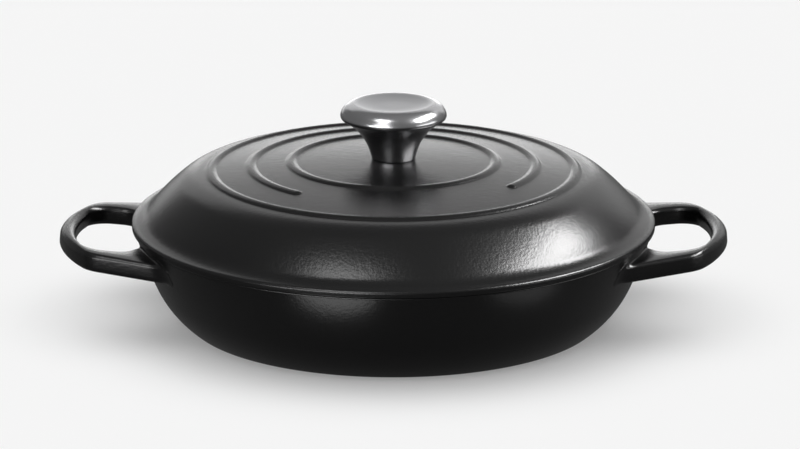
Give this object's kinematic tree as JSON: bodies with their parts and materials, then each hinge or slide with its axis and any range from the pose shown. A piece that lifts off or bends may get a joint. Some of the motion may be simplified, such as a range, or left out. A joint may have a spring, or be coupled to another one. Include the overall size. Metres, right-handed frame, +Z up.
{
  "type": "braiser",
  "caption": "Wide round cast-iron braiser with two loop handles and a domed, ringed lid that lifts off by a steel knob.",
  "frame": {"origin": "centre of the circle that the pan stands on, at the surface it stands on", "axes": "+X towards the right-hand loop handle, +Y to the back, +Z up; the gap in the lid's middle ring faces -Y"},
  "size_m": [0.3512, 0.275, 0.1158],
  "materials": {
    "enamelled_iron": "satin black enamel with a fine orange-peel surface",
    "satin_steel": "satin, turned",
    "plain_steel": "plain"
  },
  "bodies": {
    "pan_body": {"pan": "enamelled_iron"},
    "lid_body": {"lid": "enamelled_iron", "knob_shell": "satin_steel", "knob_core": "plain_steel", "lid_screw": "plain_steel", "screw_washer": "plain_steel"}
  },
  "joints": [
    {"name": "lid_lift", "type": "slide", "parent": "pan_body", "child": "lid_body", "axis": [0, 0, 1], "range_m": [0, 0.15]}
  ]
}
